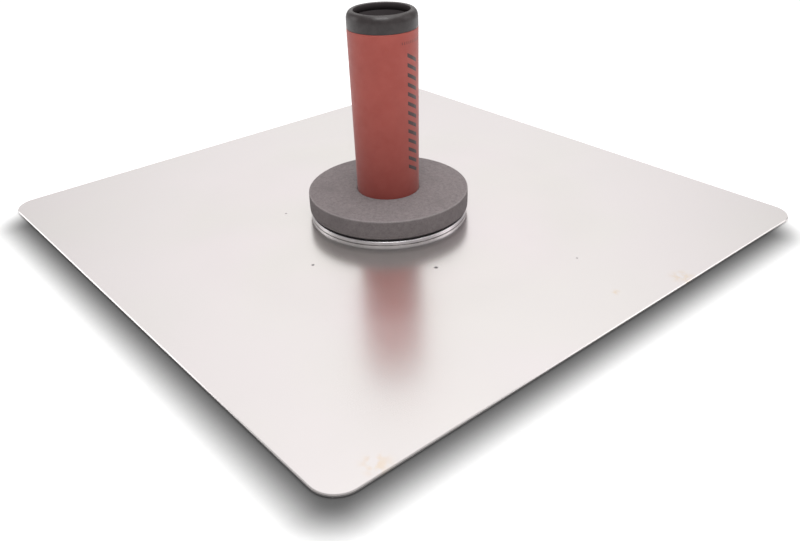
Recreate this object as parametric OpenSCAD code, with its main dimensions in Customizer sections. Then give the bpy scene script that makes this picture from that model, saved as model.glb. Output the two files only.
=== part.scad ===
// Plasterer's hawk: a square aluminium blade with an upright, screw-on, soft-sleeved handle.
// Origin: centre of the blade's flat working face, which lies on the surface.
// +Z runs up the handle, and the blade's sides run along X and Y. Millimetres.

/* [Blade] */
// Side of the square blade
blade_side = 330.2; // [203:0.1:356]
// Thickness of the blade's sheet
blade_t = 1.6; // [1.3:0.1:3]
// Radius of the blade's rounded corners
corner_r = 12.7; // [5:0.1:40]
// Width of the chamfer that breaks the blade's sharp edges
blade_chamfer = 0.4; // [0.1:0.05:0.5]

/* [Mounting disc] */
// Diameter of the disc
disc_d = 90.8; // [90:0.1:110]
// Thickness of the disc
disc_t = 2.25; // [1.8:0.05:4]
// Width of the chamfer on the disc's rim
disc_chamfer = 0.25; // [0.1:0.05:0.5]

/* [Rivets] */
// Number of rivets that hold the disc to the blade
rivet_count = 6; // [4:1:8]
// Diameter of the circle that the rivets stand on
rivet_circle_d = 60; // [50:1:72]
// Diameter of a rivet's shank
rivet_d = 4.8; // [3.2:0.1:5]
// Diameter of a rivet's flush head
rivet_head_d = 9; // [7:0.1:10]
// Depth of a rivet's flush head
rivet_head_depth = 1.1; // [0.6:0.1:1.2]

/* [Thread] */
// Outside diameter of the stud's thread
thread_d = 12.7; // [8:0.1:15]
// Turns of thread in an inch of length
threads_per_inch = 13; // [8:1:20]
// Turns of thread that the handle takes up, and so the turns that free it
thread_turns = 8; // [4:1:10]
// Width of the stud's square head
stud_head_w = 19; // [17:0.5:22]
// Thickness of the stud's square head, let into the underside of the disc
stud_head_t = 1.1; // [0.8:0.1:1.3]
// Distance across the flats of the handle's threaded insert
insert_flats = 19; // [19:0.5:24]

/* [Foam pad] */
// Diameter of the foam pad
pad_d = 92.8; // [90:0.1:110]
// Thickness of the foam pad
pad_t = 10.5; // [6:0.1:20]

/* [Handle] */
// Height of the whole hawk, from its working face to the collar's rim
overall_h = 117.7; // [105:0.1:150]
// Diameter of the flange that clamps on the disc
flange_d = 88.4; // [60:0.1:89]
// Thickness of the flange
flange_t = 1.7; // [1.5:0.1:4]
// Diameter of the handle's rigid core
core_d = 33.2; // [32:0.1:33.4]
// Diameter of the hollow in the handle
hollow_d = 30.4; // [26:0.1:30.4]
// Plastic left between the insert and the hollow
hollow_floor_t = 5; // [4:0.1:10]
// Number of moulded rings that key the sleeve to the core
key_ring_count = 4; // [2:1:6]
// Outside diameter of the soft sleeve at its foot
grip_bottom_d = 35.4; // [35.2:0.1:40]
// Outside diameter of the soft sleeve at its top
grip_top_d = 38.1; // [36:0.1:40]

/* [End collar] */
// Height of the end collar
collar_h = 9.1; // [7:0.1:14]
// Share of the rim's width taken by its outer rounding
rim_outer_share = 0.78; // [0.3:0.01:0.78]
// Share of the rim's width taken by its inner rounding
rim_inner_share = 0.2; // [0.05:0.01:0.2]

/* [Hidden] */
$fn = 128;

mm_per_inch = 25.4;
body_gap = 0.2;      // between faces of pieces that move apart
fit_gap = 0.1;       // round the stud where it passes the disc
thread_gap = 0.05;   // radial running clearance of the thread
cut_over = 1;        // how far a cut runs past the face it opens

blade_half = blade_side / 2;

stack_top = blade_t + disc_t;

rivet_recess = 0.05;
rivet_head_land = 0.3;

thread_pitch = mm_per_inch / threads_per_inch;
insert_len = thread_turns * thread_pitch;

flange_z = stack_top + body_gap;
flange_top = flange_z + flange_t;
flange_chamfer = 0.3;
insert_cover = 2.2;  // plastic under the insert, over the flange
insert_z = flange_top + insert_cover;
insert_top = insert_z + insert_len;
insert_waist_share = 0.25;
insert_waist_h = insert_len * insert_waist_share;
insert_waist_depth = 0.8;
insert_waist_d = insert_flats - 2 * insert_waist_depth;
stud_tip_chamfer = 1;
stud_top = insert_top + stud_tip_chamfer;
stud_clearance = 0.5; // round the stud where it passes the plastic
stud_hole_d = thread_d + 2 * stud_clearance;
stud_room = 1.2;     // free height over the stud's tip

collar_z = overall_h - collar_h;
collar_lip_t = 4;
core_top = overall_h - collar_lip_t;
hollow_z = insert_top + hollow_floor_t;
key_ring_h = 2;
key_ring_depth = 0.6;
key_ring_step = (collar_z - flange_top) / (key_ring_count + 1);

seam_chamfer = 0.25; // leaves a fine groove where sleeve and collar meet
rim_w = (grip_top_d - hollow_d) / 2;
rim_outer_r = rim_w * rim_outer_share;
rim_inner_r = rim_w * rim_inner_share;

pad_z = flange_top + body_gap;
pad_top = pad_z + pad_t;
pad_clearance = 0.3;

// Sleeve's outside radius at height z
function grip_r(z) =
    (grip_bottom_d + (grip_top_d - grip_bottom_d) * (z - flange_top) / (collar_z - flange_top)) / 2;

pad_hole_r = max(grip_r(pad_z), grip_r(pad_top)) + pad_clearance;

// Half of a plate's edge outline, from its centre to reach, with both edges chamfered
module edge_outline(reach, t, chamfer) {
    polygon([
        [0, 0], [reach - chamfer, 0], [reach, chamfer],
        [reach, t - chamfer], [reach - chamfer, t], [0, t]
    ]);
}

// Straight bar of the blade, full width across Y, that stops where the corners start
module blade_bar() {
    straight = blade_side - 2 * corner_r;
    rotate([90, 0, 90])
        translate([0, 0, -straight / 2])
            linear_extrude(straight)
                for (side = [0, 1])
                    mirror([side, 0])
                        edge_outline(blade_half, blade_t, blade_chamfer);
}

// Quarter-round corner of the blade
module blade_corner() {
    translate([blade_half - corner_r, blade_half - corner_r, 0])
        rotate_extrude(angle = 90)
            edge_outline(corner_r, blade_t, blade_chamfer);
}

// Round disc with chamfered rim, standing on height z
module chamfered_disc(d, t, chamfer, z) {
    translate([0, 0, z])
        rotate_extrude()
            edge_outline(d / 2, t, chamfer);
}

// One rivet that fills the stack, its flat ends set in from the stack's faces
module rivet_form(set_in) {
    head_r = rivet_head_d / 2;
    shank_r = rivet_d / 2;
    rotate_extrude()
        polygon([
            [0, set_in], [head_r, set_in], [head_r, rivet_head_land],
            [shank_r, rivet_head_depth], [shank_r, stack_top - rivet_head_depth],
            [head_r, stack_top - rivet_head_land], [head_r, stack_top - set_in],
            [0, stack_top - set_in]
        ]);
}

// Every rivet, or the holes for them
module rivet_ring(set_in) {
    for (i = [0 : rivet_count - 1])
        rotate([0, 0, (i + 0.5) * 360 / rivet_count])
            translate([rivet_circle_d / 2, 0, 0])
                rivet_form(set_in);
}

// Hexagonal outside of the insert, with a round waist that locks it in the core
module insert_form() {
    end_h = (insert_len - insert_waist_h) / 2;
    hex_d = insert_flats / cos(30);
    for (z = [insert_z, insert_top - end_h])
        translate([0, 0, z])
            cylinder(d = hex_d, h = end_h, $fn = 6);
    translate([0, 0, insert_z])
        cylinder(d = insert_waist_d, h = insert_len);
}

// Moulded rings round the core, which fill grooves inside the sleeve
module key_rings() {
    for (i = [1 : key_ring_count])
        translate([0, 0, flange_top + i * key_ring_step - key_ring_h / 2])
            cylinder(d = core_d + 2 * key_ring_depth, h = key_ring_h);
}

// Quarter of a filled circle in the first quadrant
module quarter_round(r) {
    intersection() {
        circle(r = r);
        square(r);
    }
}

// Outline of the collar from the hollow's wall out, before the core's end is let in
module collar_outline() {
    hollow_r = hollow_d / 2;
    outer_r = grip_top_d / 2;
    crest_r = outer_r - rim_outer_r;
    polygon([
        [hollow_r, collar_z], [outer_r - seam_chamfer, collar_z],
        [outer_r, collar_z + seam_chamfer], [outer_r, overall_h - rim_outer_r],
        [crest_r, overall_h - rim_outer_r], [crest_r, overall_h],
        [hollow_r + rim_inner_r, overall_h],
        [hollow_r + rim_inner_r, overall_h - rim_inner_r],
        [hollow_r, overall_h - rim_inner_r]
    ]);
    translate([crest_r, overall_h - rim_outer_r])
        quarter_round(rim_outer_r);
    translate([hollow_r + rim_inner_r, overall_h - rim_inner_r])
        mirror([1, 0])
            quarter_round(rim_inner_r);
}

// Square sheet whose flat underside is the working face
module blade() {
    color("gainsboro")
        difference() {
            union() {
                for (turn = [0, 90])
                    rotate([0, 0, turn])
                        blade_bar();
                for (turn = [0 : 90 : 270])
                    rotate([0, 0, turn])
                        blade_corner();
            }
            rivet_ring(-cut_over);
        }
}

// Disc that the stud stands through, with a square pocket below for the stud's head
module mounting_disc() {
    pocket_w = stud_head_w + 2 * fit_gap;
    color("silver")
        difference() {
            chamfered_disc(disc_d, disc_t, disc_chamfer, blade_t);
            translate([-pocket_w / 2, -pocket_w / 2, blade_t - cut_over])
                cube([pocket_w, pocket_w, stud_head_t + cut_over]);
            translate([0, 0, blade_t])
                cylinder(d = thread_d + 2 * fit_gap, h = disc_t + cut_over);
            rivet_ring(-cut_over);
        }
}

// Flush rivets through blade and disc
module rivets() {
    color("lightgray")
        rivet_ring(rivet_recess);
}

// Stud with a thin square head; its thread is drawn at the outside diameter
module threaded_stud() {
    shank_top = stud_top - stud_tip_chamfer;
    color("lightsteelblue") {
        translate([-stud_head_w / 2, -stud_head_w / 2, blade_t])
            cube([stud_head_w, stud_head_w, stud_head_t]);
        translate([0, 0, blade_t])
            cylinder(d = thread_d, h = shank_top - blade_t);
        translate([0, 0, shank_top])
            cylinder(d1 = thread_d, d2 = thread_d - 2 * stud_tip_chamfer, h = stud_tip_chamfer);
    }
}

// Loose foam ring that rests on the flange and cushions the hand
module foam_pad() {
    color("dimgray")
        difference() {
            translate([0, 0, pad_z])
                cylinder(d = pad_d, h = pad_t);
            translate([0, 0, pad_z - cut_over])
                cylinder(r = pad_hole_r, h = pad_t + 2 * cut_over);
        }
}

// Rigid tube and flange, solid round the insert and hollow above it
module handle_core() {
    color([0.13, 0.13, 0.14])
        difference() {
            union() {
                chamfered_disc(flange_d, flange_t, flange_chamfer, flange_z);
                translate([0, 0, flange_z])
                    cylinder(d = core_d, h = core_top - flange_z);
                key_rings();
            }
            translate([0, 0, flange_z - cut_over])
                cylinder(d = stud_hole_d, h = insert_z - flange_z + cut_over);
            insert_form();
            translate([0, 0, insert_top])
                cylinder(d = stud_hole_d, h = stud_tip_chamfer + stud_room);
            translate([0, 0, hollow_z])
                cylinder(d = hollow_d, h = core_top - hollow_z + cut_over);
        }
}

// Moulded-in insert that runs on the stud
module threaded_insert() {
    color("goldenrod")
        difference() {
            insert_form();
            translate([0, 0, insert_z - cut_over])
                cylinder(d = thread_d + 2 * thread_gap, h = insert_len + 2 * cut_over);
        }
}

// Soft sleeve that widens gently towards the collar
module grip_sleeve() {
    full_top = collar_z - seam_chamfer;
    color([0.62, 0.34, 0.31])
        difference() {
            union() {
                translate([0, 0, flange_top])
                    cylinder(r1 = grip_r(flange_top), r2 = grip_r(full_top), h = full_top - flange_top);
                translate([0, 0, full_top])
                    cylinder(r1 = grip_r(full_top), r2 = grip_r(full_top) - seam_chamfer, h = seam_chamfer);
            }
            translate([0, 0, flange_top - cut_over])
                cylinder(d = core_d, h = collar_z - flange_top + 2 * cut_over);
            key_rings();
        }
}

// Rubber collar that caps the core and leaves the hollow open
module end_collar() {
    color([0.25, 0.25, 0.26])
        rotate_extrude()
            difference() {
                collar_outline();
                translate([0, collar_z - cut_over])
                    square([core_d / 2, core_top - collar_z + cut_over]);
            }
}

blade();
mounting_disc();
rivets();
threaded_stud();
foam_pad();
handle_core();
threaded_insert();
grip_sleeve();
end_collar();
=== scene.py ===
import math

import bpy
import numpy as np
from mathutils import Matrix, Vector


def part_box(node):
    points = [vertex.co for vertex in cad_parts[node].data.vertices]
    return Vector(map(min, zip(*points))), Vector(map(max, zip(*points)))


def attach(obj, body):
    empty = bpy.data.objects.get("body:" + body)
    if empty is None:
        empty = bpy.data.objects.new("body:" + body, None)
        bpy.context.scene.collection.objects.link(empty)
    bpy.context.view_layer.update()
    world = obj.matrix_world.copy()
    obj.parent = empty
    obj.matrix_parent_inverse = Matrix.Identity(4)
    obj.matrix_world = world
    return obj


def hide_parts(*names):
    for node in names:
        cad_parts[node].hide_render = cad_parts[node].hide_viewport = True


# Plasterer's hawk. The CAD frame gives every place and size; this file adds the detailed pieces,
# the materials, the studio and the camera. Lengths are in metres.

MM = 0.001
TAU = math.tau

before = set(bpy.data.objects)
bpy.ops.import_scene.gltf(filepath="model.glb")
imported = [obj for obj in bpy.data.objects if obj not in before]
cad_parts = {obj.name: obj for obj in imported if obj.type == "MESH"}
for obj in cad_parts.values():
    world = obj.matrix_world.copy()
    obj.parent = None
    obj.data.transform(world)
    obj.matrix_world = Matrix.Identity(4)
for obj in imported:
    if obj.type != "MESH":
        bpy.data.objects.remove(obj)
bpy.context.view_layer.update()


# ---------------------------------------------------------------- camera

VIEW_AZIMUTH = math.radians(50.32)
VIEW_ELEVATION = math.radians(30.38)
VIEW_ROLL = math.radians(-1.78)
VIEW_DISTANCE = 0.4238
VIEW_TARGET = Vector((0.0570, -0.0404, 0))
LENS_MM = 36.65
SENSOR_MM = 36.0
CLIP_NEAR = 0.01
CLIP_FAR = 50


def make_camera():
    """Camera at the photograph's viewing angle, a little rolled."""
    a, e, r = VIEW_AZIMUTH, VIEW_ELEVATION, VIEW_ROLL
    back = Vector((math.sin(a) * math.cos(e), -math.cos(a) * math.cos(e), math.sin(e)))
    level = Vector((math.cos(a), math.sin(a), 0))
    upright = back.cross(level)
    right = level * math.cos(r) + upright * math.sin(r)
    up = upright * math.cos(r) - level * math.sin(r)
    data = bpy.data.cameras.new("camera")
    data.lens = LENS_MM
    data.sensor_width = SENSOR_MM
    data.clip_start = CLIP_NEAR
    data.clip_end = CLIP_FAR
    cam = bpy.data.objects.new("camera", data)
    turn = Matrix((right, up, back)).transposed().to_4x4()
    cam.matrix_world = Matrix.Translation(VIEW_TARGET + back * VIEW_DISTANCE) @ turn
    bpy.context.scene.collection.objects.link(cam)
    bpy.context.scene.camera = cam


# ---------------------------------------------------------------- node helpers


class Shader:
    """A material's node tree, with short calls for the nodes that this file uses."""

    def __init__(self, name):
        self.material = bpy.data.materials.new(name)
        self.material.use_nodes = True
        self.tree = self.material.node_tree
        self.tree.nodes.clear()
        self.surface = self.add("ShaderNodeBsdfPrincipled")
        self.output = self.add("ShaderNodeOutputMaterial")
        self.feed(self.output.inputs["Surface"], self.surface.outputs[0])
        self.place = self.add("ShaderNodeTexCoord").outputs["Object"]

    def add(self, kind, **settings):
        node = self.tree.nodes.new(kind)
        for key, value in settings.items():
            setattr(node, key, value)
        return node

    def feed(self, socket, value):
        """Links value to socket if it is a socket, or else sets it."""
        if isinstance(value, bpy.types.NodeSocket):
            self.tree.links.new(value, socket)
        else:
            socket.default_value = value

    def set(self, **values):
        """Sets the surface shader's inputs; an underscore in a key stands for a space."""
        for key, value in values.items():
            self.feed(self.surface.inputs[key.replace("_", " ")], value)

    def math(self, operation, a, b=0.0):
        node = self.add("ShaderNodeMath", operation=operation)
        self.feed(node.inputs[0], a)
        self.feed(node.inputs[1], b)
        return node.outputs[0]

    def plus(self, a, b):
        return self.math("ADD", a, b)

    def minus(self, a, b):
        return self.math("SUBTRACT", a, b)

    def times(self, a, b):
        return self.math("MULTIPLY", a, b)

    def above(self, a, b):
        """1 where a is greater than b, 0 elsewhere."""
        return self.math("GREATER_THAN", a, b)

    def below(self, a, b):
        """1 where a is less than b, 0 elsewhere."""
        return self.math("LESS_THAN", a, b)

    def magnitude(self, a):
        """The value without its sign."""
        return self.math("ABSOLUTE", a)

    def length(self, a, b):
        """Length of the vector (a, b)."""
        return self.math("SQRT", self.plus(self.times(a, a), self.times(b, b)))

    def parts(self):
        """The object's x, y and z as three values."""
        node = self.add("ShaderNodeSeparateXYZ")
        self.feed(node.inputs[0], self.place)
        return node.outputs

    def from_axis(self):
        """Distance from the Z axis."""
        x, y, _ = self.parts()
        return self.length(x, y)

    def scaled(self, scale):
        """The object's own coordinates, stretched."""
        node = self.add("ShaderNodeMapping")
        self.feed(node.inputs["Vector"], self.place)
        node.inputs["Scale"].default_value = scale
        return node.outputs[0]

    def noise(self, scale, detail=2.0, rough=0.5, where=None):
        node = self.add("ShaderNodeTexNoise")
        self.feed(node.inputs["Vector"], self.place if where is None else where)
        node.inputs["Scale"].default_value = scale
        node.inputs["Detail"].default_value = detail
        node.inputs["Roughness"].default_value = rough
        return node.outputs["Fac"]

    def cells(self, scale):
        node = self.add("ShaderNodeTexVoronoi", feature="F1")
        self.feed(node.inputs["Vector"], self.place)
        node.inputs["Scale"].default_value = scale
        return node

    def ramp(self, value, low, high, out_low=0.0, out_high=1.0):
        """Maps value from low..high to out_low..out_high, smoothly and held at the ends."""
        node = self.add("ShaderNodeMapRange", interpolation_type="SMOOTHSTEP")
        self.feed(node.inputs["Value"], value)
        node.inputs["From Min"].default_value = low
        node.inputs["From Max"].default_value = high
        node.inputs["To Min"].default_value = out_low
        node.inputs["To Max"].default_value = out_high
        return node.outputs[0]

    def mix(self, share, a, b):
        """Mixes two colours; share 0 gives a and share 1 gives b."""
        node = self.add("ShaderNodeMix", data_type="RGBA")
        self.feed(node.inputs["Factor"], share)
        self.feed(node.inputs["A"], a)
        self.feed(node.inputs["B"], b)
        return node.outputs["Result"]

    def bump(self, height, depth, strength, under=None):
        """Bump of the given depth in metres, over another bump if one is given."""
        node = self.add("ShaderNodeBump")
        self.feed(node.inputs["Height"], height)
        node.inputs["Distance"].default_value = depth
        node.inputs["Strength"].default_value = strength
        if under is not None:
            self.feed(node.inputs["Normal"], under)
        return node.outputs["Normal"]

    def clear_where(self, mask):
        """Leaves the surface clear where the mask is 1, and wherever it is seen from its back."""
        behind = self.add("ShaderNodeNewGeometry").outputs["Backfacing"]
        mixer = self.add("ShaderNodeMixShader")
        self.feed(mixer.inputs[0], self.math("MAXIMUM", mask, behind))
        self.feed(mixer.inputs[1], self.surface.outputs[0])
        self.feed(mixer.inputs[2], self.add("ShaderNodeBsdfTransparent").outputs[0])
        self.feed(self.output.inputs["Surface"], mixer.outputs[0])


def rgb(red, green, blue):
    return (red, green, blue, 1.0)


def set_material(obj, material):
    obj.data.materials.clear()
    obj.data.materials.append(material)


# ---------------------------------------------------------------- sizes from the frame


def radius_of(node):
    low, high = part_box(node)
    return (high.x - low.x) / 2


def hole_radius(node):
    """Smallest distance of the node's mesh from the Z axis."""
    return min(math.hypot(v.co.x, v.co.y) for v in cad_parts[node].data.vertices)


_, blade_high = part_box("blade")
_, core_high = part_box("handle_core")
pad_low, pad_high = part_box("foam_pad")
sleeve_low, sleeve_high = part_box("grip_sleeve")
collar_low, collar_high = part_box("end_collar")
stud_low, stud_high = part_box("threaded_stud")
insert_low, insert_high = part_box("threaded_insert")
pad_radius = radius_of("foam_pad")
sleeve_radius = radius_of("grip_sleeve")
handle_hole_radius = hole_radius("end_collar")


# ---------------------------------------------------------------- blade's material

METAL_SHARE = 0.92       # the rest is the thin dull oxide that whitens what the blade mirrors
EDGE_METAL_SHARE = 0.78  # the same towards the blade's edges, which are duller
# over these distances from the axis the blade turns duller and its colour darker; the darker colour is
# painted shade
HAZE_START = 86 * MM
HAZE_END = 148 * MM
ROLLING_LINES = (7, 1100, 40)

# x, y and radius of each mark in mm
STAINS = ((160, -140, 5), (161, 57, 5), (147, 21, 2))
SPECKS = ((23.4, -71.8, 0.8), (69.6, -26.5, 1.0), (-37.7, -48, 0.5), (112.9, 34, 0.5))


def spot_mask(s, spots, softness):
    """1 inside round spots on the blade, 0 outside."""
    x, y, _ = s.parts()
    total = 0.0
    for spot_x, spot_y, radius in spots:
        away = s.length(s.minus(x, spot_x * MM), s.minus(y, spot_y * MM))
        mask = s.ramp(away, radius * MM * (1 - softness), radius * MM * (1 + softness), 1.0, 0.0)
        total = s.math("MAXIMUM", total, mask)
    return total


def blade_specks(s):
    """1 on the dark specks: the few plain ones, and fine powdery grains sown at random."""
    dust_and_painted_light = s.cells(55)
    grains = s.ramp(dust_and_painted_light.outputs["Distance"], 0.012, 0.03, 1.0, 0.0)
    kept = s.above(s.noise(31, 0, where=dust_and_painted_light.outputs["Position"]), 0.62)
    return s.math("MAXIMUM", spot_mask(s, SPECKS, 0.4), s.times(grains, kept))


def blade_colour(s, edge_haze_and_shade, specks):
    """Near-white metal in faint pink, straw and grey patches, with painted shade towards its edges, and
    stains and specks.
    """
    pink = rgb(0.853, 0.797, 0.802)
    straw = rgb(0.833, 0.802, 0.778)
    grey = rgb(0.79, 0.752, 0.753)
    # painted shade: the darker colour that the blade takes towards its edges
    painted_edge_shade = rgb(0.78, 0.743, 0.74)
    stain = rgb(0.80, 0.62, 0.42)
    dirt_and_painted_shade = rgb(0.10, 0.10, 0.11)
    colour = s.mix(s.ramp(s.noise(11, 1.5), 0.35, 0.65), pink, straw)
    colour = s.mix(s.times(s.ramp(s.noise(26, 2.0), 0.3, 0.7), 0.2), colour, grey)
    # painted shade towards the blade's edges
    colour = s.mix(s.times(edge_haze_and_shade, 0.5), colour, painted_edge_shade)
    stained = s.times(spot_mask(s, STAINS, 0.8), s.ramp(s.noise(240, 3), 0.4, 0.6))
    colour = s.mix(s.times(stained, 0.45), colour, stain)
    return s.mix(s.times(specks, 0.85), colour, dirt_and_painted_shade)


def blade_material():
    """Rolled aluminium sheet: satin, faintly tinted, with fine rolling lines and a few marks."""
    s = Shader("blade_aluminium")
    # rises towards the edges: less metal there, and painted shade in the colour
    edge_haze_and_shade = s.ramp(s.from_axis(), HAZE_START, HAZE_END)
    specks = blade_specks(s)
    metal = s.ramp(edge_haze_and_shade, 0, 1, METAL_SHARE, EDGE_METAL_SHARE)
    lines = s.noise(1.0, 2, 0.5, where=s.scaled(ROLLING_LINES))
    rough = s.plus(s.ramp(s.noise(18, 3), 0.25, 0.75, 0.21, 0.25), s.times(lines, 0.012))
    rough = s.plus(rough, s.times(specks, 0.4))
    normal = s.bump(s.noise(7, 1.0), 0.6 * MM, 0.35)
    s.set(Base_Color=blade_colour(s, edge_haze_and_shade, specks), Metallic=metal, Roughness=rough, Normal=normal)
    return s.material


# ---------------------------------------------------------------- other metal

TURNING_GROOVES = 3200     # per metre
FOOT_SHADE_LOW = 0.15 * MM  # heights over the blade between which the painted shade round the disc's foot fades
FOOT_SHADE_HIGH = 0.5 * MM


def turned_metal(name, base, tint, rough_low, rough_high, foot=None):
    """Metal turned on a lathe: fine grooves round Z and duller patches, with painted shade at a foot
    height.
    """
    s = Shader(name)
    z = s.parts()[2]
    lathe = s.add("ShaderNodeCombineXYZ")
    s.feed(lathe.inputs["X"], s.times(s.from_axis(), TURNING_GROOVES))
    s.feed(lathe.inputs["Z"], s.times(z, TURNING_GROOVES))
    grooves = s.noise(1.0, 2, 0.6, where=lathe.outputs[0])
    colour = s.mix(s.ramp(s.noise(90, 3, 0.6), 0.35, 0.7), base, tint)
    if foot is not None:
        # painted shade where the disc stands on the blade
        dirt_and_painted_shade = s.ramp(z, foot + FOOT_SHADE_LOW, foot + FOOT_SHADE_HIGH, 0.8, 0.0)
        colour = s.mix(dirt_and_painted_shade, colour, rgb(0.12, 0.11, 0.11))
    rough = s.ramp(s.noise(420, 3), 0.3, 0.7, rough_low, rough_high)
    normal = s.bump(grooves, 0.02 * MM, 0.5)
    normal = s.bump(s.noise(500, 2), 0.006 * MM, 0.4, under=normal)
    s.set(Base_Color=colour, Metallic=1.0, Roughness=rough, Normal=normal)
    return s.material


def disc_material():
    bright = rgb(0.78, 0.755, 0.77)
    worn = rgb(0.66, 0.64, 0.655)
    return turned_metal("disc_aluminium", bright, worn, 0.30, 0.40, blade_high.z)


def rivet_material():
    return turned_metal("rivet_aluminium", rgb(0.76, 0.76, 0.77), rgb(0.66, 0.66, 0.67), 0.28, 0.4)


def stud_material():
    return turned_metal("stud_steel", rgb(0.66, 0.67, 0.69), rgb(0.55, 0.56, 0.58), 0.22, 0.35)


def insert_material():
    return turned_metal("insert_brass", rgb(0.75, 0.55, 0.24), rgb(0.62, 0.44, 0.18), 0.25, 0.4)


# ---------------------------------------------------------------- foam's material


def foam_edge(s, inner_gap, outer_gap, deep, shallow):
    """Two masks that rise to 1 near the pad's rim and near its top.

    The gaps are distances in from the rim, and the last two are distances down from the top.
    """
    near_rim = s.ramp(s.from_axis(), pad_radius - inner_gap, pad_radius - outer_gap)
    near_top = s.ramp(s.parts()[2], pad_high.z - deep, pad_high.z - shallow)
    return near_rim, near_top


def foam_colour(s, cell, mottle):
    """Grey with pale and dark cells, a painted highlight along the top edge and painted shade down the
    side.
    """
    dark = rgb(0.150, 0.130, 0.132)
    light = rgb(0.212, 0.185, 0.188)
    cell_wall = rgb(0.28, 0.25, 0.25)
    grubby = rgb(0.12, 0.105, 0.107)
    # the next two are painted light: a pale top edge and a darker side
    painted_edge_highlight = rgb(0.30, 0.27, 0.27)
    side = rgb(0.11, 0.10, 0.10)
    walls = s.ramp(cell.outputs["Distance"], 0.15, 0.75)
    colour = s.mix(mottle, dark, light)
    colour = s.mix(s.times(walls, 0.3), colour, cell_wall)
    colour = s.mix(s.ramp(s.noise(60, 2), 0.5, 0.8, 0.0, 0.3), colour, grubby)
    # painted highlight along the pad's top edge
    near_rim, near_top = foam_edge(s, 1.3 * MM, 0.3 * MM, 0.9 * MM, 0.3 * MM)
    colour = s.mix(s.times(s.times(near_rim, near_top), 0.4), colour, painted_edge_highlight)
    # painted shade down the pad's side
    near_rim, near_top = foam_edge(s, 1.0 * MM, 0.6 * MM, 0.9 * MM, 0.5 * MM)
    under_top = s.minus(1.0, near_top)
    return s.mix(s.times(s.times(near_rim, under_top), 0.30), colour, side)


def foam_material():
    """Closed-cell foam: matte, with fine pale and dark cells."""
    s = Shader("pad_foam")
    cell = s.cells(1100)
    mottle = s.ramp(s.noise(420, 4, 0.65), 0.3, 0.7)
    rough = s.ramp(mottle, 0, 1, 0.82, 0.95)
    normal = s.bump(cell.outputs["Distance"], 0.2 * MM, 0.6)
    normal = s.bump(s.noise(2600, 2), 0.08 * MM, 0.5, under=normal)
    s.set(Base_Color=foam_colour(s, cell, mottle), Roughness=rough, Normal=normal)
    s.set(Specular_IOR_Level=0.3)
    return s.material


# ---------------------------------------------------------------- sleeve's material

MARK_ANGLE = math.radians(14)
MARK_LOW = 30.7 * MM
MARK_HIGH = 97 * MM
MARK_HALF_WIDTH = 3.9 * MM
MARK_PITCH = 5.2 * MM
MARK_SLANT = 0.55
MARK_BAR_SHARE = 0.42
DASH_PITCH = 1.5 * MM
DASH_LOW = 102.4 * MM
DASH_TALL = 1.6 * MM
DASH_REACH = 8.3 * MM
# heights between which the painted shade on the sleeve fades out, darkest at the lower one
SLEEVE_SHADE_LOW = 10 * MM
SLEEVE_SHADE_HIGH = 80 * MM


def printed_bars(s, across, z):
    """1 on a plain printed column of slanted bars, a little worn, 0 elsewhere."""
    slanted = s.plus(z, s.times(across, MARK_SLANT))
    inside = s.below(s.magnitude(across), MARK_HALF_WIDTH)
    inside = s.times(inside, s.above(slanted, MARK_LOW))
    inside = s.times(inside, s.below(slanted, MARK_HIGH))
    bar = s.below(s.math("FRACT", s.math("DIVIDE", slanted, MARK_PITCH)), MARK_BAR_SHARE)
    worn = s.ramp(s.noise(900, 3, 0.7), 0.30, 0.38, 0.55, 1.0)
    return s.times(s.times(inside, bar), worn)


def printed_dashes(s, across, z):
    """Up to 0.65 on a faint row of dashes over the column, 0 elsewhere."""
    dashes = s.below(s.math("FRACT", s.math("DIVIDE", across, DASH_PITCH)), 0.5)
    dashes = s.times(dashes, s.above(z, DASH_LOW))
    dashes = s.times(dashes, s.below(z, DASH_LOW + DASH_TALL))
    dashes = s.times(dashes, s.below(s.magnitude(across), DASH_REACH))
    return s.times(dashes, s.ramp(s.noise(1100, 2, 0.6), 0.4, 0.6, 0.3, 0.65))


def printed_mark(s):
    """The sleeve's whole printed mark, as a share of ink."""
    x, y, z = s.parts()
    across = s.times(s.minus(s.math("ARCTAN2", y, x), MARK_ANGLE), sleeve_radius)
    return s.math("MAXIMUM", printed_bars(s, across, z), printed_dashes(s, across, z))


def sleeve_colour(s, mark):
    """Mottled red, darker where it is handled, with painted shade towards its foot and the mark in black.
    """
    deep_red = rgb(0.352, 0.067, 0.052)
    red = rgb(0.38, 0.078, 0.061)
    handled_red = rgb(0.30, 0.066, 0.053)
    painted_foot_shade = rgb(0.14, 0.026, 0.022)
    ink = rgb(0.022, 0.020, 0.021)
    colour = s.mix(s.ramp(s.noise(90, 3, 0.6), 0.3, 0.7), deep_red, red)
    colour = s.mix(s.ramp(s.noise(38, 2), 0.5, 0.75, 0.0, 0.3), colour, handled_red)
    # painted shade, darker towards the sleeve's foot
    colour = s.mix(s.ramp(s.parts()[2], SLEEVE_SHADE_LOW, SLEEVE_SHADE_HIGH, 0.32, 0.0), colour, painted_foot_shade)
    return s.mix(s.times(mark, 0.93), colour, ink)


def sleeve_material():
    """Soft-touch red elastomer with a faint sheen and the printed mark."""
    s = Shader("sleeve_rubber")
    mark = printed_mark(s)
    rough = s.minus(s.ramp(s.noise(300, 3), 0.3, 0.7, 0.50, 0.60), s.times(mark, 0.12))
    normal = s.bump(s.cells(2200).outputs["Distance"], 0.03 * MM, 0.35)
    normal = s.bump(s.noise(150, 2), 0.08 * MM, 0.3, under=normal)
    s.set(Base_Color=sleeve_colour(s, mark), Roughness=rough, Normal=normal)
    s.set(Specular_IOR_Level=0.38, Sheen_Weight=0.10, Sheen_Roughness=0.5)
    return s.material


# ---------------------------------------------------------------- black mouldings' materials

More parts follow.
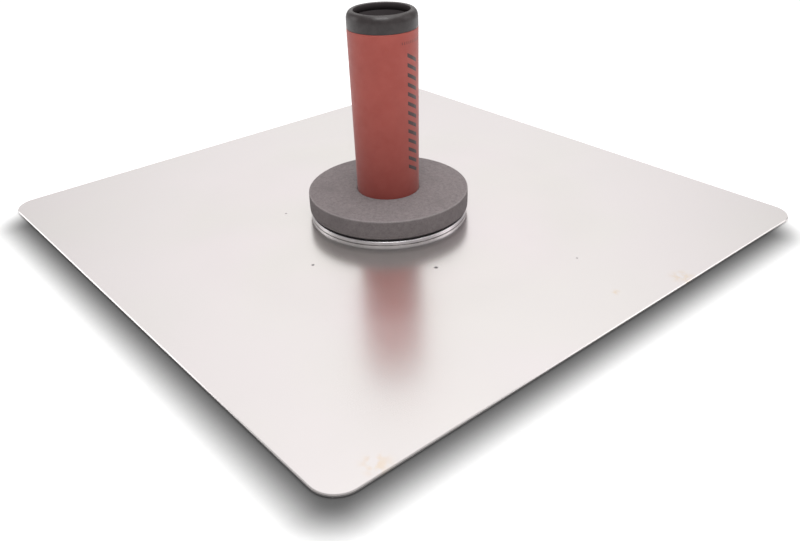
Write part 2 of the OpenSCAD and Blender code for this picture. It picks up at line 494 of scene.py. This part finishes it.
# painted light: the paler colour inside the handle's hole
HOLE_PAINTED_LIGHT = rgb(0.085, 0.073, 0.076)
HOLE_LIGHT_OVERLAP = 0.05 * MM  # how far the painted light runs past the hole's wall before it fades
HOLE_LIGHT_FADE = 0.3 * MM


def moulded_black(name, dark, light, rough_range, grain_scale, grain_depth):
    """Black moulded plastic or rubber with a fine spark-eroded grain, and painted light inside the
    handle's hole.
    """
    s = Shader(name)
    colour = s.mix(s.ramp(s.noise(240, 4, 0.6), 0.3, 0.7), dark, light)
    painted_light_within = handle_hole_radius + HOLE_LIGHT_OVERLAP
    # painted light inside the handle's hole
    dust_and_painted_light = s.ramp(s.from_axis(), painted_light_within, painted_light_within + HOLE_LIGHT_FADE, 1.0, 0.0)
    colour = s.mix(dust_and_painted_light, colour, HOLE_PAINTED_LIGHT)
    rough = s.ramp(s.noise(500, 3), 0.3, 0.7, *rough_range)
    normal = s.bump(s.noise(grain_scale, 3, 0.6), grain_depth, 0.5)
    s.set(Base_Color=colour, Roughness=rough, Normal=normal)
    return s.material


def collar_material():
    dark = rgb(0.023, 0.0175, 0.0178)
    light = rgb(0.033, 0.0262, 0.0265)
    return moulded_black("collar_rubber", dark, light, (0.33, 0.44), 1300, 0.04 * MM)


def core_material():
    dark = rgb(0.044, 0.038, 0.041)
    light = rgb(0.062, 0.053, 0.057)
    return moulded_black("core_plastic", dark, light, (0.45, 0.6), 1500, 0.05 * MM)


# ---------------------------------------------------------------- studio

SOFT_WHITE = rgb(1.0, 0.99, 0.985)
BRIGHT_SIDE_AZIMUTH = math.radians(140)  # from +X towards +Y, the side that the blade mirrors
BRIGHT_SIDE_ELEVATION = math.radians(34)
BRIGHT_SIDE_EDGE = 0.72                  # cosine of the angle at which the bright side has faded
DOME_DIM = 0.36
DOME_BRIGHT = 0.99

# Name, place, aim, side in metres and power in watts of each square light
LIGHTS = (
    ("overhead", (0.1, 0.2, 1.6), (0, 0, 0), 1.6, 17),
    ("near_top", (0.18, -0.145, 0.50), (0, 0, 0.08), 0.25, 1.0),
    ("right_fill", (0.7, 0.9, 0.6), (0, 0, 0.05), 0.6, 1.5),
    ("left_fill", (-1.02, -0.71, 0.38), (0, 0, 0.05), 0.6, 1.9),
)

FLOOR_HALF_SIDE = 6.0
FLOOR_WHITE = rgb(0.95, 0.95, 0.95)
FLOOR_GLOW = 0.25
FLOOR_DROP = 0.2 * MM                    # keeps the floor off the blade's working face
FLOOR_OPENING_MARGIN = 4 * MM            # the floor is open under the blade, this far inside its edge
SHADOW_SHIFT = (14.5 * MM, -14 * MM)     # how far the soft shadow lies towards the viewer
SHADOW_REACH = 15.5 * MM
SHADOW_CORNER = 20 * MM
SHADOW_LEVEL = 0.09


def make_world():
    """Soft white surroundings, brightest behind the object and dimmer at both sides."""
    world = bpy.data.worlds.new("studio")
    world.use_nodes = True
    tree = world.node_tree
    tree.nodes.clear()
    output = tree.nodes.new("ShaderNodeOutputWorld")
    background = tree.nodes.new("ShaderNodeBackground")
    coords = tree.nodes.new("ShaderNodeTexCoord")
    dot = tree.nodes.new("ShaderNodeVectorMath")
    dot.operation = "DOT_PRODUCT"
    a, e = BRIGHT_SIDE_AZIMUTH, BRIGHT_SIDE_ELEVATION
    dot.inputs[1].default_value = (math.cos(a) * math.cos(e), math.sin(a) * math.cos(e), math.sin(e))
    spread = tree.nodes.new("ShaderNodeMapRange")
    spread.interpolation_type = "SMOOTHSTEP"
    spread.inputs["From Min"].default_value = BRIGHT_SIDE_EDGE
    spread.inputs["From Max"].default_value = 1.0
    spread.inputs["To Min"].default_value = DOME_DIM
    spread.inputs["To Max"].default_value = DOME_BRIGHT
    tree.links.new(coords.outputs["Generated"], dot.inputs[0])
    tree.links.new(dot.outputs["Value"], spread.inputs["Value"])
    tree.links.new(spread.outputs[0], background.inputs["Strength"])
    background.inputs["Color"].default_value = SOFT_WHITE
    tree.links.new(background.outputs[0], output.inputs["Surface"])
    bpy.context.scene.world = world


def area_light(name, place, aim, side, power):
    data = bpy.data.lights.new(name, "AREA")
    data.shape = "SQUARE"
    data.size = side
    data.energy = power
    light = bpy.data.objects.new(name, data)
    light.location = place
    light.rotation_mode = "QUATERNION"
    light.rotation_quaternion = (Vector(aim) - Vector(place)).to_track_quat("-Z", "Y")
    light.visible_camera = False
    bpy.context.scene.collection.objects.link(light)


def floor_shadow(s, x, y):
    """SHADOW_LEVEL inside the blade's shifted outline and 1 well outside it."""
    half = blade_high.x - SHADOW_CORNER
    over_x = s.math("MAXIMUM", s.minus(s.magnitude(s.minus(x, SHADOW_SHIFT[0])), half), 0.0)
    over_y = s.math("MAXIMUM", s.minus(s.magnitude(s.minus(y, SHADOW_SHIFT[1])), half), 0.0)
    away = s.minus(s.length(over_x, over_y), SHADOW_CORNER)
    return s.ramp(away, -SHADOW_REACH, SHADOW_REACH, SHADOW_LEVEL, 1.0)


def floor_material():
    """Matt white and faintly glowing, open under the blade, with a soft shadow laid towards the viewer."""
    s = Shader("floor_white")
    x, y, _ = s.parts()
    grain = s.ramp(s.noise(300, 3), 0.3, 0.7, 0.985, 1.0)
    white = s.mix(s.times(floor_shadow(s, x, y), grain), rgb(0, 0, 0), FLOOR_WHITE)
    s.set(Base_Color=white, Roughness=0.8, Specular_IOR_Level=0.2)
    s.set(Emission_Color=white, Emission_Strength=FLOOR_GLOW)
    from_middle = s.math("MAXIMUM", s.magnitude(x), s.magnitude(y))
    s.clear_where(s.below(from_middle, blade_high.x - FLOOR_OPENING_MARGIN))
    return s.material


def make_studio():
    make_world()
    for name, place, aim, side, power in LIGHTS:
        area_light(name, place, aim, side, power)
    signs = ((-1, -1), (1, -1), (1, 1), (-1, 1))
    corners = [(x * FLOOR_HALF_SIDE, y * FLOOR_HALF_SIDE, -FLOOR_DROP) for x, y in signs]
    floor = mesh_object("floor", corners, [(0, 1, 2, 3)], smooth=False)
    set_material(floor, floor_material())
    bpy.context.scene.view_settings.view_transform = "Standard"


# ---------------------------------------------------------------- mesh helpers


def mesh_object(name, points, faces, smooth=True):
    data = bpy.data.meshes.new(name)
    data.from_pydata([tuple(p) for p in points], [], faces)
    data.validate()
    if smooth:
        data.shade_smooth()
    obj = bpy.data.objects.new(name, data)
    bpy.context.scene.collection.objects.link(obj)
    return obj


def turns(columns):
    """Angles of evenly spaced columns round Z."""
    return np.arange(columns) * TAU / columns


def ring(reach, height, turn):
    """Points round Z at the given angles; reach and height are each one number or one for each angle."""
    height = np.broadcast_to(height, turn.shape)
    return np.column_stack([reach * np.cos(turn), reach * np.sin(turn), height])


def band(a, b, columns):
    """Quads between ring a and ring b."""
    faces = []
    for j in range(columns):
        k = (j + 1) % columns
        faces.append((a * columns + j, a * columns + k, b * columns + k, b * columns + j))
    return faces


def loft(name, rings, closed=True):
    """A closed skin through rings of equal count.

    Closed joins the last ring to the first, or else both ends get a fan.
    """
    columns = len(rings[0])
    points = list(np.concatenate(rings))
    faces = []
    for i in range(len(rings) - 1):
        faces += band(i, i + 1, columns)
    if closed:
        faces += band(len(rings) - 1, 0, columns)
        return mesh_object(name, points, faces)
    for i, order in ((0, -1), (len(rings) - 1, 1)):
        centre = len(points)
        points.append(np.array(rings[i]).mean(0))
        for j in range(columns):
            face = (i * columns + j, i * columns + (j + 1) % columns, centre)
            faces.append(face[::order])
    return mesh_object(name, points, faces)


def arc(centre, radius, start_deg, end_deg, steps, tall=None):
    """Profile points along an arc in (radius, height), ends included.

    Tall is the arc's half axis along the height, where it isn't round.
    """
    tall = radius if tall is None else tall
    out = []
    for i in range(steps + 1):
        a = math.radians(start_deg + (end_deg - start_deg) * i / steps)
        out.append((centre[0] + radius * math.cos(a), centre[1] + tall * math.sin(a)))
    return out


def line(start, end, steps):
    """Profile points from start towards end, without the end itself."""
    return [
        (start[0] + (end[0] - start[0]) * i / steps, start[1] + (end[1] - start[1]) * i / steps)
        for i in range(steps)
    ]


def wander(turn, seed, terms, size):
    """Smooth random function of the angle round Z."""
    rng = np.random.default_rng(seed)
    total = np.zeros_like(turn)
    for k in range(2, 2 + terms):
        total += rng.normal() / k * np.cos(k * turn + rng.uniform(0, TAU))
    return size * total


def finish_piece(obj, body, slot, material, *nodes):
    """Gives a piece its material and body, and hides the CAD nodes that it stands for. The slot is not
    used.
    """
    set_material(obj, material)
    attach(obj, body)
    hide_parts(*nodes)


# ---------------------------------------------------------------- foam pad

PAD_COLUMNS = 560
PAD_EDGE = 0.35 * MM
PAD_SNUG = 0.2 * MM            # how much closer the foam hugs the sleeve than its CAD hole
PAD_STEADY_SHARE = 0.6         # the share of the radius inside which the foam stays round and flat
PAD_WAVE = 0.10 * MM           # the cut rim's wander in and out
PAD_TWIST = 0.07 * MM          # the same, opposite at top and bottom
PAD_BARREL = 0.12 * MM         # how far the rim draws in at top and bottom
PAD_TOP_WAVE = 0.05 * MM

PIT_COUNT = 420
PIT_TOP_SHARE = 0.6            # share of the pits that are in the top face
PIT_WIDTH = (0.5, 1.1)         # mm
PIT_DEPTH = (0.05, 0.16)       # mm
PIT_REACH_SQUARED = (0.17, 0.97)


def pad_profile():
    """Cut ring with barely rounded edges, anticlockwise from the top of the hole in (radius, height)."""
    hole = hole_radius("foam_pad") - PAD_SNUG
    outer = pad_radius
    low, high = pad_low.z, pad_high.z
    e = PAD_EDGE
    points = line((hole, high - e), (hole, low + e), 8)
    points += arc((hole + e, low + e), e, 180, 270, 3)[:-1]
    points += line((hole + e, low), (outer - e, low), 30)
    points += arc((outer - e, low + e), e, 270, 360, 3)[:-1]
    points += line((outer, low + e), (outer, high - e), 20)
    points += arc((outer - e, high - e), e, 0, 90, 3)[:-1]
    points += line((outer - e, high), (hole + e, high), 48)
    points += arc((hole + e, high - e), e, 90, 180, 3)[:-1]
    return points


def pitted_points(points, outer):
    """Open cells in the foam's cut faces, each a shallow round dent."""
    rng = np.random.default_rng(11)
    centre = np.array([0, 0, (pad_low.z + pad_high.z) / 2])
    top = rng.uniform(0, 1, PIT_COUNT) < PIT_TOP_SHARE
    turn = rng.uniform(0, TAU, PIT_COUNT)
    reach = np.where(top, np.sqrt(rng.uniform(*PIT_REACH_SQUARED, PIT_COUNT)) * outer, outer)
    level = np.where(top, pad_high.z, rng.uniform(pad_low.z, pad_high.z, PIT_COUNT))
    for pit, on_top in zip(ring(reach, level, turn), top):
        wide = rng.uniform(*PIT_WIDTH) * MM
        deep = rng.uniform(*PIT_DEPTH) * MM
        away = np.linalg.norm(points - pit, axis=1) / wide
        dent = np.where(away < 1, deep * (1 - away ** 2) ** 2, 0)[:, None]
        inward = np.array([0, 0, -1.0]) if on_top else -(pit - centre) * (1, 1, 0) / outer
        points = points + dent * inward
    return points


def make_pad():
    turn = turns(PAD_COLUMNS)
    middle = (pad_low.z + pad_high.z) / 2
    half = (pad_high.z - pad_low.z) / 2
    steady = PAD_STEADY_SHARE * pad_radius
    rings = []
    for radius, height in pad_profile():
        share = max(0.0, (radius - steady) / (pad_radius - steady))
        level = (height - middle) / half
        out = wander(turn, 3, 9, PAD_WAVE) + wander(turn, 5, 14, PAD_TWIST) * level
        out = share * (out - PAD_BARREL * level ** 2)
        rise = wander(turn, 7, 7, PAD_TOP_WAVE) * share * (level > 0)
        rings.append(ring(radius + out, height + rise, turn))
    pitted = pitted_points(np.concatenate(rings), pad_radius)
    pad = loft("foam_ring", np.split(pitted, len(rings)))
    finish_piece(pad, "cushion", "pad_foam", foam_material(), "foam_pad")


# ---------------------------------------------------------------- sleeve and collar

GRIP_COLUMNS = 192
SLEEVE_SOFT = 0.5 * MM
SLEEVE_FOOT_FLARE = 0.01 * MM
SLEEVE_WAVE = 0.03 * MM
SEAM_ANGLE = 0.9               # where the mould's halves met, in radians from +X
SEAM_WIDTH = 0.03
SEAM_HEIGHT = 0.06 * MM

COLLAR_LIP = 0.4 * MM
COLLAR_SHOULDER = 2.8 * MM
COLLAR_SHOULDER_TALL = 4.4 * MM
COLLAR_FOOT_INSET = 0.5 * MM
COLLAR_FOOT_ROUND = 0.3 * MM
COLLAR_GROOVE_OFFSET = 0.95 * MM
COLLAR_GROOVE = ((0.12, 0.06), (0, 0.16), (-0.14, 0.05))  # out from its middle and depth, mm


def foot_radius():
    """Outside radius of the CAD sleeve at its foot."""
    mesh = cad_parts["grip_sleeve"].data
    near = [v.co for v in mesh.vertices if v.co.z < sleeve_low.z + 0.1 * MM]
    return max(math.hypot(p.x, p.y) for p in near)


def make_sleeve():
    """Tapered tube with softened ends and a faint mould line down each side."""
    top, bottom = sleeve_high.z, sleeve_low.z
    inner = hole_radius("grip_sleeve")
    foot_r = foot_radius()
    soft = SLEEVE_SOFT
    turn = turns(GRIP_COLUMNS)
    seam = np.exp(-((np.abs(np.sin(turn - SEAM_ANGLE)) / SEAM_WIDTH) ** 2)) * SEAM_HEIGHT
    profile = [(inner, top), (inner, bottom)]
    profile += arc((foot_r - soft, bottom + soft), soft, 270, 360, 5)
    profile += line((foot_r + SLEEVE_FOOT_FLARE, bottom + 2 * soft), (sleeve_radius, top - soft), 60)
    profile += arc((sleeve_radius - soft, top - soft), soft, 0, 90, 5)
    rings = []
    for radius, height in profile:
        outside = radius > inner + soft
        reach = radius + seam * outside + wander(turn, 21, 4, SLEEVE_WAVE) * outside
        rings.append(ring(reach, height, turn))
    sleeve = loft("sleeve_tube", rings)
    finish_piece(sleeve, "handle", "sleeve_rubber", sleeve_material(), "grip_sleeve")


def make_collar():
    """Rubber cap: broad rounded shoulder, shallow groove and a thin raised lip round the hole."""
    top, bottom = collar_high.z, collar_low.z
    outer = radius_of("end_collar")
    hole = handle_hole_radius
    seat = hole_radius("grip_sleeve")
    under = core_high.z
    foot, lip, groove_r = COLLAR_FOOT_ROUND, COLLAR_LIP, hole + COLLAR_GROOVE_OFFSET
    shoulder, tall = COLLAR_SHOULDER, COLLAR_SHOULDER_TALL
    profile = [(hole, top - lip), (hole, under), (seat, under), (seat, bottom)]
    profile += [(outer - COLLAR_FOOT_INSET, bottom)]
    profile += arc((outer - foot, bottom + foot), foot, 300, 360, 3)
    profile += arc((outer - shoulder, top - tall), shoulder, 4, 84, 14, tall)
    profile += [(groove_r + out * MM, top - deep * MM) for out, deep in COLLAR_GROOVE]
    profile += arc((hole + lip, top - lip), lip, 80, 170, 5)
    turn = turns(GRIP_COLUMNS)
    collar = loft("collar_cap", [ring(reach, height, turn) for reach, height in profile])
    finish_piece(collar, "handle", "collar_rubber", collar_material(), "end_collar")


# ---------------------------------------------------------------- thread

THREAD_COLUMNS = 96
THREAD_PITCH = 25.4 / 13 * MM
THREAD_CREST = 6.30 * MM
THREAD_ROOT = 5.25 * MM
THREAD_FLAT_SHARE = 0.15       # share of half a pitch that is flat at the crest, and at the root
THREAD_CLEARANCE = 0.12 * MM
INSERT_BORE_CLEARANCE = 0.25 * MM

STUD_HEAD_TALL = 1.1 * MM
STUD_NECK_TALL = 1.3 * MM
STUD_TIP_CHAMFER = 1.1 * MM
STUD_STEPS = 126

INSERT_WAIST_DEPTH = 0.8 * MM
INSERT_END_SHARE = 0.375
INSERT_STEPS = 96


def thread_radius(height, turn):
    """Right-handed V thread with flat crests and roots."""
    phase = np.mod(height / THREAD_PITCH - turn / TAU, 1.0)
    flank = np.abs(phase - 0.5) * 2
    climb = (flank - THREAD_FLAT_SHARE) / (1 - 2 * THREAD_FLAT_SHARE)
    return THREAD_ROOT + (THREAD_CREST - THREAD_ROOT) * np.clip(climb, 0, 1)


def square_reach(half, turn):
    return half / np.maximum(np.abs(np.cos(turn)), np.abs(np.sin(turn)))


def hex_reach(apothem, turn):
    return apothem / np.cos(np.mod(turn, TAU / 6) - TAU / 12)


def make_stud():
    """Threaded stud that stands on its thin square head."""
    turn = turns(THREAD_COLUMNS)
    head = square_reach(radius_of("threaded_stud"), turn)
    head_top = stud_low.z + STUD_HEAD_TALL
    neck = head_top + STUD_NECK_TALL
    rings = [ring(head, stud_low.z, turn), ring(head, head_top, turn)]
    rings += [ring(THREAD_CREST, head_top, turn), ring(THREAD_CREST, neck, turn)]
    for i in range(1, STUD_STEPS + 1):
        height = neck + (stud_high.z - neck) * i / STUD_STEPS
        tip_limit = (stud_high.z - height) + THREAD_CREST - STUD_TIP_CHAMFER
        rings.append(ring(np.minimum(thread_radius(height, turn), tip_limit), height, turn))
    stud = loft("stud_thread", rings, closed=False)
    finish_piece(stud, "blade_assembly", "stud_steel", stud_material(), "threaded_stud")


def make_insert():
    """Hexagonal insert with a round waist outside and the thread inside."""
    turn = turns(THREAD_COLUMNS)
    low, high = insert_low.z, insert_high.z
    apothem = (insert_high.y - insert_low.y) / 2
    waist = apothem - INSERT_WAIST_DEPTH
    end_tall = (high - low) * INSERT_END_SHARE
    sides = hex_reach(apothem, turn)
    rings = [ring(sides, low, turn), ring(sides, low + end_tall, turn)]
    rings += [ring(waist, low + end_tall, turn), ring(waist, high - end_tall, turn)]
    rings += [ring(sides, high - end_tall, turn), ring(sides, high, turn)]
    for i in range(INSERT_STEPS + 1):
        height = high - (high - low) * i / INSERT_STEPS
        bore = thread_radius(height, turn) + THREAD_CLEARANCE
        rings.append(ring(np.maximum(bore, THREAD_ROOT + INSERT_BORE_CLEARANCE), height, turn))
    insert = loft("insert_nut", rings)
    finish_piece(insert, "handle", "insert_brass", insert_material(), "threaded_insert")


# ---------------------------------------------------------------- carried-over CAD nodes


def dress_nodes():
    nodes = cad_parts
    set_material(nodes["blade"], blade_material())
    set_material(nodes["mounting_disc"], disc_material())
    set_material(nodes["rivets"], rivet_material())
    set_material(nodes["handle_core"], core_material())


make_camera()
make_studio()
dress_nodes()
make_pad()
make_sleeve()
make_collar()
make_stud()
make_insert()
